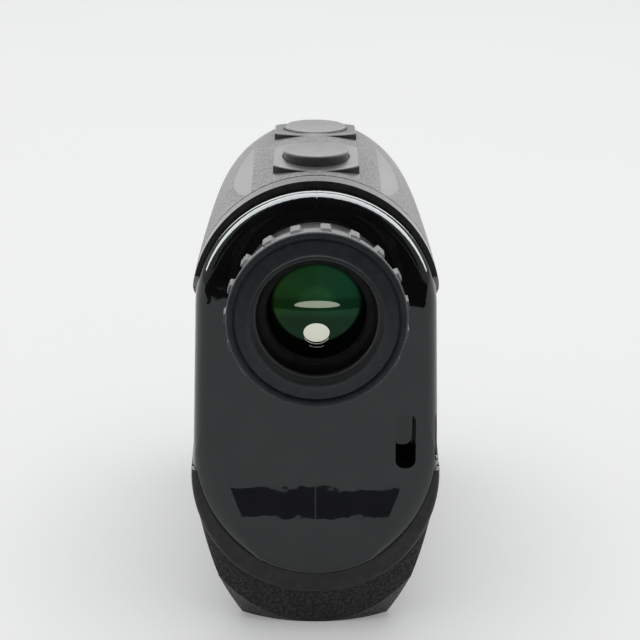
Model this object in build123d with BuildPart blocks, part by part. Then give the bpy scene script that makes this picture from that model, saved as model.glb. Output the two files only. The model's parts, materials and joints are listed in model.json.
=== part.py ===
"""Handheld monocular laser rangefinder, modelled as an assembly of separate pieces.

Frame: origin at the centre of the flat base, +Y forward along the line of sight, +X right as
seen by the user, +Z up. Lengths are millimetres. A "station" is a distance forward of the flat
rear face of the housing, so the eyepiece has negative stations.
"""

from build123d import *
import os
from math import cos, pi, radians, sin, sqrt

os.makedirs("parts", exist_ok=True)

# ---------------------------------------------------------------- driving dimensions
REAR = -42.18  # Y of the flat rear face, which centres the flat base on Y = 0
CAP_DEPTH = 3.8  # length over which the rear corner is rounded
CORE_END = 84.0  # station where the shells end
GASKET = 0.6
BODY_END = 92.0  # station of the bezel's front face
WALL = 1.8
REAR_WALL = 2.4

SIGHT_Z = 58.0  # eyepiece, prism and objective axis
LASER_Z = 37.0  # laser transmitter axis
BATTERY_Z = 21.5  # battery axis

ARMOR_THICK = 1.1  # at the crown
ARMOR_SIDE = 0.55  # at the shoulders, where the armour thins out
ARMOR_HIP = 0.3
ARMOR_START = CAP_DEPTH
ARMOR_FLOOR = 74.2  # underside of the thick armour over the buttons
BORDER_GROOVE = 9.7  # station of the groove behind the buttons
GROOVE_DEPTH = 0.35
BUTTON_STATIONS = {"mode": 21.6, "power": 44.1}
BUTTON_HALF_WIDTH = 5.4
BUTTON_HALF_LENGTH = 6.3
BUTTON_GAP = 0.25
BUTTON_RISE = {"mode": 1.45, "power": 0.85}  # height of a button's crown over its pad
BUTTON_SPHERE = 60.0  # radius of a button's shallow dome
BUTTON_TRAVEL = 0.5
PAD_HALF_WIDTH = 7.1
PAD_HALF_LENGTH = 8.9
PAD_RISE = 0.05  # height of the flat button pads over the crown line, at their ends

LIP_START = 2.1
BOOT_START = 3.8
BOOT_FULL = 4.7  # station where the flat base begins
BOOT_END = 83.4
HEEL_BOW = 19.7  # plan radius of the boot's bowed rear edge, at the base

OBJECTIVE_RADIUS = 9.5
OBJECTIVE_CLEAR = 9.05
OBJECTIVE_CELL = 10.3  # outer radius of the objective's cell

RIB_COUNT = 19
FIRST_RIB = 84.6  # angle of the first rib from +X, degrees

SLOT_X = 14.65  # lanyard slot in the rear face
SLOT_Z = 33.8
SLOT_WIDTH = 3.3
SLOT_HEIGHT = 9.3
SLOT_DEPTH = 6.0
SIDE_SLOT = (1.7, 5.2)  # stations of the slot's opening in the side wall

CELL_RADIUS = 7.75  # CR2 cell
CELL_START = 58.6
CELL_LENGTH = 26.2

SCREW_RADIUS = 0.95
SCREW_HOLE = 1.0
BEZEL_SCREWS = [(-12.6, 43.6), (12.6, 43.6), (-12.4, 30.4), (12.4, 30.4)]
CASE_SCREW_STATIONS = [13.0, 46.0]
CASE_SCREW_Z = 14.6

# station, top radius, crown height, bottom radius, keel height of the hard housing
CORE_ROWS = [
    (CAP_DEPTH, 19.5, 75.1, 20.1, 9.7),
    (28.0, 18.7, 75.9, 19.8, 9.9),
    (48.0, 17.7, 75.7, 19.5, 10.1),
    (68.0, 17.3, 72.7, 19.2, 10.3),
    (CORE_END, 17.0, 69.8, 18.9, 10.6),
    (BODY_END, 16.9, 68.4, 18.7, 10.9),
]


def across(station):
    """Plane across the body at a station; its local axes are X and Z."""
    return Plane.XZ.offset(-(REAR + station))


def save(piece, label):
    """Labels a finished piece and writes its STEP file."""
    piece.part.label = label
    export_step(piece.part, f"parts/{label}.step")


# ---------------------------------------------------------------- body sections
def full_outline(r_top, crown, r_bottom, keel):
    """Right-hand control points of a tall rounded section, from the crown to the keel."""
    hip_z = keel + r_bottom
    flank = radians(30)
    toe = radians(60)
    return [
        (0, crown),
        (r_top, crown - r_top),
        (r_bottom, hip_z),
        (r_bottom * cos(flank), hip_z - r_bottom * sin(flank)),
        (r_bottom * cos(toe), hip_z - r_bottom * sin(toe)),
        (0, keel),
    ]


def mixed_outline(first, second, share):
    """Outline part of the way from the first to the second."""
    return [(a[0] + (b[0] - a[0]) * share, a[1] + (b[1] - a[1]) * share) for a, b in zip(first, second)]


def section(station, outline):
    """Closed face of an outline: crown arc, sides, flank arcs and keel arc."""
    crown, shoulder, hip, flank, toe, keel = outline
    left_shoulder, left_hip, left_flank, left_toe = [(-x, z) for x, z in (shoulder, hip, flank, toe)]
    with BuildSketch(across(station)) as face:
        with BuildLine():
            ThreePointArc(left_shoulder, crown, shoulder)
            Line(shoulder, hip)
            ThreePointArc(hip, flank, toe)
            ThreePointArc(toe, keel, left_toe)
            ThreePointArc(left_toe, left_flank, left_hip)
            Line(left_hip, left_shoulder)
        make_face()
    return face.sketch


def body_loft(inset=0.0):
    """Smooth solid through the rows of CORE_ROWS, moved inwards by inset."""
    sections = []
    for station, r_top, crown, r_bottom, keel in CORE_ROWS:
        outline = full_outline(r_top - inset, crown - inset, r_bottom - inset, keel + inset)
        sections.append(section(station, outline))
    with BuildPart() as lofted:
        loft(sections)
    return lofted.part


def rounded_end(start, direction, depth, face_outline, body_outline, steps=6):
    """Quarter-round end of the body, from a flat face to the full outline."""
    sections = []
    for step in range(steps + 1):
        angle = pi / 2 * step / steps
        station = start + direction * depth * (1 - cos(angle))
        sections.append(section(station, mixed_outline(face_outline, body_outline, sin(angle))))
    if direction < 0:
        sections.reverse()
    with BuildPart() as end:
        loft(sections)
    return end.part


# The flat rear face narrows downwards, and the housing's corner is rounded around it.
REAR_FACE = [(0, 72.7), (16.9, 55.8), (17.0, 42.0), (14.0, 26.0), (8.6, 13.6), (0, 11.3)]

housing_loft = body_loft()
rear_end = rounded_end(0.0, 1, CAP_DEPTH, REAR_FACE, full_outline(*CORE_ROWS[0][1:]))

with BuildPart() as core_envelope:
    add(housing_loft)
    add(rear_end)
    with BuildSketch(across(CORE_END)):
        Rectangle(200, 200)
    extrude(amount=-30, mode=Mode.SUBTRACT)

cavity_sections = []
for station, inset in ((REAR_WALL, 3.6), (8.0, WALL)):
    row = CORE_ROWS[0]
    outline = full_outline(row[1] - inset, row[2] - inset, row[3] - inset, row[4] + inset)
    cavity_sections.append(section(station, outline))
for station, r_top, crown, r_bottom, keel in CORE_ROWS[1:]:
    outline = full_outline(r_top - WALL, crown - WALL, r_bottom - WALL, keel + WALL)
    cavity_sections.append(section(station, outline))

with BuildPart() as cavity:
    loft(cavity_sections, ruled=True)


# ---------------------------------------------------------------- housing shells
def rounded_slot(plane, centre_x, centre_z, width, height):
    """Upright slot outline with round corners."""
    with BuildSketch(plane) as face:
        with Locations((centre_x, centre_z)):
            RectangleRounded(width, height, width * 0.42)
    return face.sketch


def disc(plane, centre_x, centre_z, radius):
    """Circle placed on a plane across or along the body."""
    with BuildSketch(plane) as face:
        with Locations((centre_x, centre_z)):
            Circle(radius)
    return face.sketch


def housing_half(label, keep, sign):
    """One half of the clamshell, split down the middle of the body."""
    with BuildPart() as half:
        add(core_envelope.part)
        add(cavity.part, mode=Mode.SUBTRACT)
        # bosses for the bezel screws, tied to the side wall
        for x, z in BEZEL_SCREWS:
            if x * sign > 0:
                with BuildSketch(across(CORE_END - 9)):
                    with Locations((x, z)):
                        Circle(2.4)
                    with Locations((x + sign * 2.8, z)):
                        Rectangle(5.6, 4.0)
                extrude(amount=-9)
        # posts for the case screws
        for station in CASE_SCREW_STATIONS:
            with BuildSketch(Plane.YZ):
                with Locations((REAR + station, CASE_SCREW_Z)):
                    Rectangle(5.6, 5.6)
            extrude(amount=sign * 14)
        # block around the lanyard slot
        if sign > 0:
            with BuildSketch(across(1.6)):
                with Locations((SLOT_X + 0.9, SLOT_Z)):
                    Rectangle(SLOT_WIDTH + 5.0, SLOT_HEIGHT + 3.0)
            extrude(amount=-(SLOT_DEPTH + 0.4))
        add(core_envelope.part, mode=Mode.INTERSECT)
        # eyepiece bore with a seat for the barrel's flange
        extrude(disc(across(0), 0, SIGHT_Z, 11.5), amount=-4.2, mode=Mode.SUBTRACT)
        extrude(disc(across(REAR_WALL), 0, SIGHT_Z, 13.05), amount=-1.8, mode=Mode.SUBTRACT)
        # relief round the objective's cell
        extrude(disc(across(62), 0, SIGHT_Z, OBJECTIVE_CELL + 0.3), amount=-30, mode=Mode.SUBTRACT)
        # opening under the two buttons
        with BuildSketch(Plane.XY.offset(69)):
            with Locations((0, REAR + 32.5)):
                Rectangle(19, 49)
        extrude(amount=12, mode=Mode.SUBTRACT)
        for x, z in BEZEL_SCREWS:
            extrude(disc(across(CORE_END - 7), x, z, SCREW_HOLE), amount=-7, mode=Mode.SUBTRACT)
        for station in CASE_SCREW_STATIONS:
            outside = Plane.YZ.offset(-25)
            shank = disc(outside, REAR + station, CASE_SCREW_Z, SCREW_HOLE)
            extrude(shank, amount=25 + 8, mode=Mode.SUBTRACT)
            head = disc(outside, REAR + station, CASE_SCREW_Z, 2.1)
            extrude(head, amount=25 - 7.5, mode=Mode.SUBTRACT)
        if sign > 0:
            slot = rounded_slot(across(-1), SLOT_X, SLOT_Z, SLOT_WIDTH, SLOT_HEIGHT)
            extrude(slot, amount=-(SLOT_DEPTH + 1), mode=Mode.SUBTRACT)
            with BuildSketch(Plane.YZ.offset(SLOT_X)):
                with Locations((REAR + sum(SIDE_SLOT) / 2, SLOT_Z)):
                    RectangleRounded(SIDE_SLOT[1] - SIDE_SLOT[0], SLOT_HEIGHT - 0.8, 1.2)
            extrude(amount=10, mode=Mode.SUBTRACT)
        split(bisect_by=Plane.YZ, keep=keep)
    save(half, label)


housing_half("left_shell", Keep.BOTTOM, -1)
housing_half("right_shell", Keep.TOP, 1)


# ---------------------------------------------------------------- rubber armour on top
def armor_loft(grow=0.0):
    """Solid inside the armour's outer surface, which thins towards its lower edges."""
    sections = []
    for station, r_top, crown, r_bottom, keel in CORE_ROWS:
        outline = full_outline(
            r_top + ARMOR_SIDE + grow, crown + ARMOR_THICK + grow, r_bottom + ARMOR_HIP + grow, keel - grow
        )
        sections.append(section(station, outline))
    with BuildPart() as lofted:
        loft(sections)
    return lofted.part


armor_solid = armor_loft()


def crown_height(station):
    """Height of the armour's crown line at a station."""
    with BuildPart() as slice_at_station:
        add(armor_solid)
        with Locations((0, REAR + station, 75)):
            Box(1, 0.2, 20, mode=Mode.INTERSECT)
    return slice_at_station.part.bounding_box().max.Z


def pad_heights(station):
    """Heights of a pad's rear and front ends."""
    return [crown_height(station + end * PAD_HALF_LENGTH) + PAD_RISE for end in (-1, 1)]


def pad_plane(station):
    """Plane of a pad's flat top, which leans with the crown line; its normal points up."""
    rear, front = pad_heights(station)
    slope = (front - rear) / (2 * PAD_HALF_LENGTH)
    return Plane(origin=(0, REAR + station, (rear + front) / 2), x_dir=(1, 0, 0), z_dir=(0, -slope, 1))


def button_pad(station):
    """Flat raised pad around a button, with bowed ends."""
    corner = PAD_HALF_LENGTH - 3.4
    with BuildPart() as pad:
        with BuildSketch(Plane((0, REAR + station, ARMOR_FLOOR))):
            with BuildLine():
                for end in (-1, 1):
                    ThreePointArc(
                        (-PAD_HALF_WIDTH, end * corner),
                        (0, end * PAD_HALF_LENGTH),
                        (PAD_HALF_WIDTH, end * corner),
                    )
                for side in (-1, 1):
                    Line((side * PAD_HALF_WIDTH, -corner), (side * PAD_HALF_WIDTH, corner))
            make_face()
        extrude(amount=6)
        split(bisect_by=pad_plane(station), keep=Keep.BOTTOM)
        fillet(pad.faces().sort_by(Axis.Z)[-1].edges(), radius=0.3)
    return pad.part


def oval(height, station, grow):
    """Oval outline of a button, grown by a margin."""
    with BuildSketch(Plane.XY.offset(height)) as face:
        with Locations((0, REAR + station)):
            Ellipse(BUTTON_HALF_WIDTH + grow, BUTTON_HALF_LENGTH + grow)
    return face.sketch


with BuildPart() as armor_area:
    with BuildSketch(Plane.YZ):
        with BuildLine():
            armor_front = REAR + CORE_END - GASKET
            Polyline(
                (REAR + ARMOR_START, 60.5),
                (REAR + ARMOR_START, 90),
                (armor_front, 90),
                (armor_front, 56),
            )
            ThreePointArc((armor_front, 56), (REAR + 42, 48), (REAR + ARMOR_START, 60.5))
        make_face()
    extrude(amount=40, both=True)

with BuildPart() as armor_core:
    add(housing_loft)
    with BuildSketch(Plane.XY.offset(ARMOR_FLOOR)):
        with Locations((0, REAR + 32.5)):
            Rectangle(18.8, 48.8)
    extrude(amount=6, mode=Mode.SUBTRACT)

with BuildPart() as groove_tool:
    add(armor_loft(1.0))
    add(armor_loft(-GROOVE_DEPTH), mode=Mode.SUBTRACT)
    with BuildSketch(across(BORDER_GROOVE)):
        Rectangle(200, 200)
    extrude(amount=-0.5, mode=Mode.INTERSECT)

with BuildPart() as top_armor:
    add(armor_solid)
    add(armor_area.part, mode=Mode.INTERSECT)
    add(armor_core.part, mode=Mode.SUBTRACT)
    add(groove_tool.part, mode=Mode.SUBTRACT)
    for place in BUTTON_STATIONS.values():
        add(button_pad(place))
    for place in BUTTON_STATIONS.values():
        extrude(oval(73, place, BUTTON_GAP), amount=8, mode=Mode.SUBTRACT)
save(top_armor, "top_armor")


# ---------------------------------------------------------------- rubber boot below
def boot_section(station, toe, keel, flank, hip):
    """Boot outline: keel (flat where it is level with the toes), flanks and straight sides."""
    top = 38
    with BuildSketch(across(station)) as face:
        with BuildLine():
            if keel == toe[1]:
                Line((-toe[0], toe[1]), toe)
            else:
                ThreePointArc((-toe[0], toe[1]), (0, keel), toe)
            ThreePointArc(toe, flank, hip)
            Line(hip, (hip[0], top))
            Line((hip[0], top), (-hip[0], top))
            Line((-hip[0], top), (-hip[0], hip[1]))
            ThreePointArc((-hip[0], hip[1]), (-flank[0], flank[1]), (-toe[0], toe[1]))
        make_face()
    return face.sketch


LIP_OUTLINE = ((12.5, 10.3), 6.3, (18.15, 17.4), (20.4, 28.5))
FOOT_OUTLINE = ((12.1, -0.5), -0.5, (18.2, 14.8), (20.45, 30.0))
FRONT_FOOT_OUTLINE = ((11.6, -0.5), -0.5, (17.3, 14.8), (19.9, 30.0))
FRONT_LIP_OUTLINE = ((11.4, 10.6), 7.6, (16.9, 17.6), (19.3, 28.5))

with BuildPart() as boot_area:
    with BuildSketch(Plane.YZ):
        with BuildLine():
            Polyline(
                (REAR + BOOT_END, 27.5),
                (REAR + BOOT_END, 0),
                (REAR + LIP_START, 0),
                (REAR + LIP_START, 28.0),
            )
            ThreePointArc((REAR + LIP_START, 28.0), (REAR + 44, 33.0), (REAR + BOOT_END, 27.5))
        make_face()
    extrude(amount=40, both=True)

with BuildPart() as boot_lip:
    extrude(boot_section(LIP_START, *LIP_OUTLINE), amount=-(BOOT_START - LIP_START - 0.45))
    fillet(boot_lip.faces().sort_by(Axis.Y)[0].edges(), radius=0.8)



def behind_heel(height, back):
    """Plan area behind the bowed heel line, at a height; back moves the line rearwards."""
    half_chord = 16
    middle = REAR + BOOT_FULL - back
    ends = middle + HEEL_BOW - sqrt(HEEL_BOW**2 - half_chord**2)
    with BuildSketch(Plane.XY.offset(height)) as face:
        with BuildLine():
            ThreePointArc((-half_chord, ends), (0, middle), (half_chord, ends))
            Polyline(
                (half_chord, ends), (30, ends), (30, REAR - 20),
                (-30, REAR - 20), (-30, ends), (-half_chord, ends),
            )
        make_face()
    return face.sketch


with BuildPart() as heel_tool:
    loft([behind_heel(-2, -2.0), behind_heel(10, 10.0)], ruled=True)

with BuildPart() as bottom_boot:
    loft(
        [
            boot_section(BOOT_START, *LIP_OUTLINE),
            boot_section(BOOT_FULL, *FOOT_OUTLINE),
            boot_section(BOOT_END - 4, *FRONT_FOOT_OUTLINE),
            boot_section(BOOT_END, *FRONT_LIP_OUTLINE),
        ],
        ruled=True,
    )
    add(boot_lip.part)
    # narrow neck that joins the lip to the boot behind the parting groove
    with BuildSketch(across(BOOT_START - 0.6)):
        with Locations((0, 29.6)):
            Circle(20.05)
    extrude(amount=-0.8)
    add(boot_area.part, mode=Mode.INTERSECT)
    add(heel_tool.part, mode=Mode.SUBTRACT)
    add(core_envelope.part, mode=Mode.SUBTRACT)
save(bottom_boot, "bottom_boot")


# ---------------------------------------------------------------- front bezel
FRONT_START = CORE_END + GASKET
FRONT_ROUND = 4.0
PORTS = ((SIGHT_Z, 9.4), (LASER_Z, 5.9), (BATTERY_Z, 8.9))

bezel_outline = full_outline(*CORE_ROWS[4][1:])
nose_outline = full_outline(13.8, 68.6, 15.6, 13.9)

with BuildPart() as bezel_envelope:
    extrude(section(FRONT_START, bezel_outline), amount=-(BODY_END - FRONT_ROUND - FRONT_START))
    add(rounded_end(BODY_END, -1, FRONT_ROUND, nose_outline, bezel_outline))

with BuildPart() as bezel_hollow:
    extrude(section(FRONT_START, full_outline(15.2, 68.3, 17.0, 12.4)), amount=-5.0)
    for x, z in BEZEL_SCREWS:
        extrude(disc(across(FRONT_START), x, z, 2.6), amount=-5.0, mode=Mode.SUBTRACT)
    # seat of the objective's cell and its sealing ring
    extrude(disc(across(FRONT_START), 0, SIGHT_Z, OBJECTIVE_CELL + 0.3), amount=-4.4)

with BuildPart() as front_bezel:
    add(bezel_envelope.part)
    add(bezel_hollow.part, mode=Mode.SUBTRACT)
    for port_z, port_radius in PORTS:
        extrude(disc(across(FRONT_START), 0, port_z, port_radius), amount=-10, mode=Mode.SUBTRACT)
    for port_z, port_radius in PORTS[:2]:
        mouth = disc(across(BODY_END), 0, port_z, port_radius + 0.6)
        extrude(mouth, amount=0.6, taper=45, mode=Mode.SUBTRACT)
    for x, z in BEZEL_SCREWS:
        extrude(disc(across(FRONT_START), x, z, SCREW_HOLE + 0.1), amount=-10, mode=Mode.SUBTRACT)
        extrude(disc(across(FRONT_START + 4.2), x, z, 2.15), amount=-6, mode=Mode.SUBTRACT)
save(front_bezel, "front_bezel")

with BuildPart() as bezel_gasket:
    extrude(section(CORE_END, full_outline(16.8, 69.6, 18.7, 10.8)), amount=-GASKET)
    extrude(section(CORE_END, full_outline(15.4, 68.7, 17.3, 12.2)), amount=-GASKET, mode=Mode.SUBTRACT)
save(bezel_gasket, "bezel_gasket")


# ---------------------------------------------------------------- screws
def screw(plane, centre_x, centre_z, length, head_radius):
    """Pan screw whose shank runs along the plane's negative normal, with a cross recess."""
    extrude(disc(plane, centre_x, centre_z, SCREW_RADIUS), amount=-length)
    extrude(disc(plane, centre_x, centre_z, head_radius), amount=1.3)
    for turn in (0, 90):
        with BuildSketch(plane.offset(0.6)) as recess:
            with Locations(Location((centre_x, centre_z), turn)):
                Rectangle(head_radius * 1.3, 0.5)
        extrude(recess.sketch, amount=1, mode=Mode.SUBTRACT)


with BuildPart() as bezel_screws:
    for x, z in BEZEL_SCREWS:
        screw(across(FRONT_START + 4.2).reverse(), x, -z, 10.5, 1.9)
save(bezel_screws, "bezel_screws")

with BuildPart() as case_screws:
    for place in CASE_SCREW_STATIONS:
        screw(Plane.YZ.offset(-7.5).reverse(), REAR + place, -CASE_SCREW_Z, 14.5, 1.9)
save(case_screws, "case_screws")


# ---------------------------------------------------------------- round pieces
def turned(label, axis_z, *outlines):
    """Piece of revolution about a line of sight; outlines are (station, radius) corner lists."""
    with BuildPart() as piece:
        for outline in outlines:
            with BuildSketch(Plane.YZ):
                with BuildLine():
                    Polyline(*[(REAR + s, axis_z + r) for s, r in outline], close=True)
                make_face()
            revolve(axis=Axis((0, 0, axis_z), (0, 1, 0)))
    save(piece, label)


def tube_outline(start, end, inner, outer):
    return [(start, inner), (end, inner), (end, outer), (start, outer)]


def dome_arc(axis_z, radius, station, height):
    """Half arc of a lens face from its edge to its crown; the crown is height away along +Y."""
    bulge = abs(height)
    sphere = (radius**2 + bulge**2) / (2 * bulge)
    middle = sqrt(sphere**2 - (radius / 2) ** 2) - (sphere - bulge)
    return [
        (REAR + station, axis_z + radius),
        (REAR + station + middle * height / bulge, axis_z + radius / 2),
        (REAR + station + height, axis_z),
    ]


LENS_SHOULDER = 0.5  # flat rim around a lens's polished face


def lens(label, axis_z, radius, start, end, rear_dome, front_dome):
    """Lens with a rim from start to end; positive domes bulge outwards, negative ones are hollow."""
    rear = dome_arc(axis_z, radius - LENS_SHOULDER, start, -rear_dome)
    front = dome_arc(axis_z, radius - LENS_SHOULDER, end, front_dome)
    with BuildPart() as glass:
        with BuildSketch(Plane.YZ):
            with BuildLine():
                ThreePointArc(*rear)
                Line(rear[2], front[2])
                ThreePointArc(*front)
                rim = axis_z + radius
                Polyline(front[0], (REAR + end, rim), (REAR + start, rim), rear[0])
            make_face()
        revolve(axis=Axis((0, 0, axis_z), (0, 1, 0)))
    save(glass, label)


# ---------------------------------------------------------------- eyepiece
with BuildPart() as eyepiece_barrel:
    with BuildSketch(Plane.YZ):
        with BuildLine():
            profile = [
                (-10.0, 10.2), (12.0, 10.2), (12.0, 11.4), (4.2, 11.4), (4.2, 13.0),
                (REAR_WALL, 13.0), (REAR_WALL, 11.48), (-5.2, 11.48), (-5.2, 10.9), (-6.4, 10.9),
                (-6.4, 11.48), (-10.0, 11.48),
            ]
            Polyline(*[(REAR + s, SIGHT_Z + r) for s, r in profile], close=True)
        make_face()
    revolve(axis=Axis((0, 0, SIGHT_Z), (0, 1, 0)))
save(eyepiece_barrel, "eyepiece_barrel")

turned("diopter_oring", SIGHT_Z, [
    (-6.2, 10.9), (-5.4, 10.9), (-5.4, 11.5), (-5.6, 11.53), (-6.0, 11.53), (-6.2, 11.5),
])
turned("diopter_ring", SIGHT_Z, [
    (-11.5, 9.5), (-10.5, 9.5), (-10.5, 11.56), (-0.6, 11.56), (-0.6, 12.3), (-0.9, 12.6),
    (-11.5, 12.6),
])

EYECUP = {"rear": -14.5, "bead": -13.1, "band": 13.5, "lip": 10.2}

with BuildPart() as eyecup:
    with BuildSketch(Plane.YZ):
        with BuildLine():
            profile = [
                (-8.4, 12.6), (-8.4, 13.3), (-8.7, EYECUP["band"]), (-13.2, EYECUP["band"]),
                (-13.6, 13.2), (-14.45, 10.3), (-14.3, 9.9), (-11.5, 9.5), (-11.5, 12.6),
            ]
            Polyline(*[(REAR + s, SIGHT_Z + r) for s, r in profile], close=True)
        make_face()
        with Locations((REAR + EYECUP["bead"], SIGHT_Z + 13.4)):
            Circle(0.58)
        with Locations((REAR + EYECUP["rear"] + 0.3, SIGHT_Z + EYECUP["lip"])):
            Circle(0.3)
    revolve(axis=Axis((0, 0, SIGHT_Z), (0, 1, 0)))
    with BuildSketch(across(-8.9)):
        with Locations((0, SIGHT_Z)):
            with PolarLocations(13.65, RIB_COUNT, start_angle=FIRST_RIB):
                Trapezoid(1.7, 1.1, 78, rotation=-90)
    extrude(amount=3.9)
save(eyecup, "eyecup")

turned("ocular_cell", SIGHT_Z, [
    (-9.0, 9.0), (-7.6, 9.0), (-7.6, 8.6), (-2.4, 8.6), (-2.4, 7.6), (0.6, 7.6), (0.6, 8.0),
    (5.2, 8.0), (5.2, 10.12), (-9.0, 10.12),
])
turned("ocular_retainer", SIGHT_Z, [
    (-9.3, 8.1), (-9.0, 7.83), (-7.4, 7.83), (-6.6, 8.15), (-6.6, 8.6), (-7.6, 8.6),
    (-7.6, 9.0), (-9.3, 9.0),
])
lens("eye_lens", SIGHT_Z, 8.6, -6.6, -4.4, 0.9, 1.5)
turned("lens_spacer", SIGHT_Z, tube_outline(-4.4, -2.4, 8.2, 8.6))
lens("field_lens", SIGHT_Z, 8.0, 1.4, 3.2, 0.7, 1.1)
turned("field_lens_ring", SIGHT_Z, tube_outline(3.2, 4.6, 7.6, 8.0))


# ---------------------------------------------------------------- optical bench
def block(x_range, station_range, z_range, mode=Mode.ADD):
    """Box given by its limits in X, station and Z."""
    size = [high - low for low, high in (x_range, station_range, z_range)]
    centre = [(high + low) / 2 for low, high in (x_range, station_range, z_range)]
    with Locations((centre[0], REAR + centre[1], centre[2])):
        Box(*size, mode=mode)


with BuildPart() as display_frame:
    block((-9.5, 9.5), (12.0, 15.2), (49.0, 66.4))
    block((-5.5, 5.5), (11.0, 16.0), (52.5, 63.5), Mode.SUBTRACT)
    block((-6.6, 6.6), (13.9, 16.0), (51.4, 64.6), Mode.SUBTRACT)
save(display_frame, "display_frame")

with BuildPart() as lcd_display:
    block((-6.5, 6.5), (13.9, 15.0), (51.5, 64.5))
save(lcd_display, "lcd_display")

PRISM_HALF_WIDTH = 7.5
PRISM_TOP = 66.0
PRISM_FLOOR = 50.0

with BuildPart() as prism_holder:
    block((-9.5, 9.5), (16.0, 40.0), (48.0, 64.0))
    block((-PRISM_HALF_WIDTH, PRISM_HALF_WIDTH), (17.6, 38.4), (PRISM_FLOOR, 70), Mode.SUBTRACT)
    extrude(disc(across(15), 0, SIGHT_Z, 5.6), amount=-26, mode=Mode.SUBTRACT)
    extrude(disc(Plane.XY.offset(47), 0, REAR + 28, 4.5), amount=4, mode=Mode.SUBTRACT)
save(prism_holder, "prism_holder")


def prism(label, corners):
    with BuildPart() as glass:
        with BuildSketch(Plane.YZ.offset(-PRISM_HALF_WIDTH)):
            with BuildLine():
                Polyline(*[(REAR + s, z) for s, z in corners], close=True)
            make_face()
        extrude(amount=2 * PRISM_HALF_WIDTH)
    save(glass, label)


prism("prism_rear", [(17.6, PRISM_FLOOR), (24.6, PRISM_FLOOR), (30.8, PRISM_TOP), (17.6, PRISM_TOP)])
prism("prism_front", [(25.1, PRISM_FLOOR), (38.4, PRISM_FLOOR), (38.4, PRISM_TOP), (31.3, PRISM_TOP)])

with BuildPart() as prism_clip:
    block((-9.5, 9.5), (22.0, 34.0), (PRISM_TOP, 66.5))
    for side in (-9.5, 9.0):
        block((side, side + 0.5), (25.0, 31.0), (64.0, PRISM_TOP))
save(prism_clip, "prism_clip")

turned("baffle_tube", SIGHT_Z, [
    (40.0, 7.4), (54.0, 7.4), (64.0, 8.8), (66.0, 8.8), (66.0, 9.6), (63.6, 9.6),
    (53.6, 8.2), (40.0, 8.2),
])
turned("objective_cell", SIGHT_Z, [
    (64.0, 9.6), (66.0, 9.6), (66.0, OBJECTIVE_CLEAR), (77.0, OBJECTIVE_CLEAR), (77.0, OBJECTIVE_RADIUS),
    (88.6, OBJECTIVE_RADIUS), (88.6, OBJECTIVE_CELL), (87.2, OBJECTIVE_CELL), (87.2, 9.95), (86.0, 9.95),
    (86.0, OBJECTIVE_CELL), (64.0, OBJECTIVE_CELL),
])
lens("objective_crown", SIGHT_Z, OBJECTIVE_RADIUS, 81.0, 83.0, 1.0, 1.3)
lens("objective_flint", SIGHT_Z, OBJECTIVE_RADIUS, 77.0, 81.0, 0.6, -1.0)
turned("objective_retainer", SIGHT_Z, [
    (83.0, OBJECTIVE_CLEAR), (84.9, OBJECTIVE_CLEAR), (85.2, 9.3), (85.2, OBJECTIVE_RADIUS),
    (83.0, OBJECTIVE_RADIUS),
])
turned("objective_oring", SIGHT_Z, tube_outline(86.0, 87.2, 9.95, OBJECTIVE_CELL + 0.3))

with BuildPart() as optical_frame:
    block((-10.5, 10.5), (12.2, 78.0), (46.2, 47.2))
    block((-7.5, 7.5), (64.0, 78.0), (43.6, 46.2))
    # saddles for the eyepiece barrel and the objective's cell
    for start, half_width, top, bore in ((6.0, 13.0, 66.5, 11.4), (66.0, 12.0, 62.0, OBJECTIVE_CELL)):
        block((-half_width, half_width), (start, start + 2), (44.0, top))
        extrude(disc(across(start - 1), 0, SIGHT_Z, bore), amount=-4, mode=Mode.SUBTRACT)
    block((-8.0, 8.0), (8.0, 12.6), (44.0, 46.4))
    block((-7.3, 7.3), (14.9, 15.9), (45, 48), Mode.SUBTRACT)
    extrude(disc(across(60), 0, LASER_Z, 6.6), amount=-20, mode=Mode.SUBTRACT)
    extrude(disc(Plane.XY.offset(44), 0, REAR + 28, 4.5), amount=6, mode=Mode.SUBTRACT)
    for place in (18.0, 38.0):
        block((-9.5, -7.5), (place - 1, place + 1), (47.2, 48.0))
        block((7.5, 9.5), (place - 1, place + 1), (47.2, 48.0))
save(optical_frame, "optical_frame")


# ---------------------------------------------------------------- laser transmitter and receiver
turned("laser_tube", LASER_Z, [
    (61.0, 5.15), (82.0, 5.15), (82.0, 5.6), (89.5, 5.6), (89.5, 6.5), (61.0, 6.5),
])
lens("laser_lens", LASER_Z, 5.6, 82.0, 84.0, 0.1, 1.4)
turned("laser_lens_ring", LASER_Z, [(84.0, 5.15), (85.4, 5.15), (85.6, 5.4), (85.6, 5.6), (84.0, 5.6)])
turned("laser_diode", LASER_Z, [
    (60.2, 0), (60.2, 2.8), (61.4, 2.8), (61.4, 2.35), (64.0, 2.35), (64.0, 0),
])

with BuildPart() as laser_board:
    block((-8.0, 8.0), (59.0, 60.2), (31.2, 43.0))
save(laser_board, "laser_board")

with BuildPart() as receiver_diode:
    extrude(disc(Plane.XY.offset(42.2), 0, REAR + 28, 4.1), amount=0.9)
    extrude(disc(Plane.XY.offset(43.1), 0, REAR + 28, 3.9), amount=3.0)
save(receiver_diode, "receiver_diode")

with BuildPart() as receiver_board:
    block((-9.0, 9.0), (16.0, 44.0), (41.0, 42.2))
save(receiver_board, "receiver_board")


# ---------------------------------------------------------------- electronics
MAIN_X = -11.8

with BuildPart() as main_board:
    block((MAIN_X, MAIN_X + 1.2), (18.0, 54.0), (18.5, 40.5))
save(main_board, "main_board")

CHIPS = [(24.0, 32.0, 8.0), (36.0, 30.0, 6.0), (46.0, 34.0, 5.0), (44.0, 24.0, 4.0), (28.0, 22.5, 4.0)]

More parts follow.
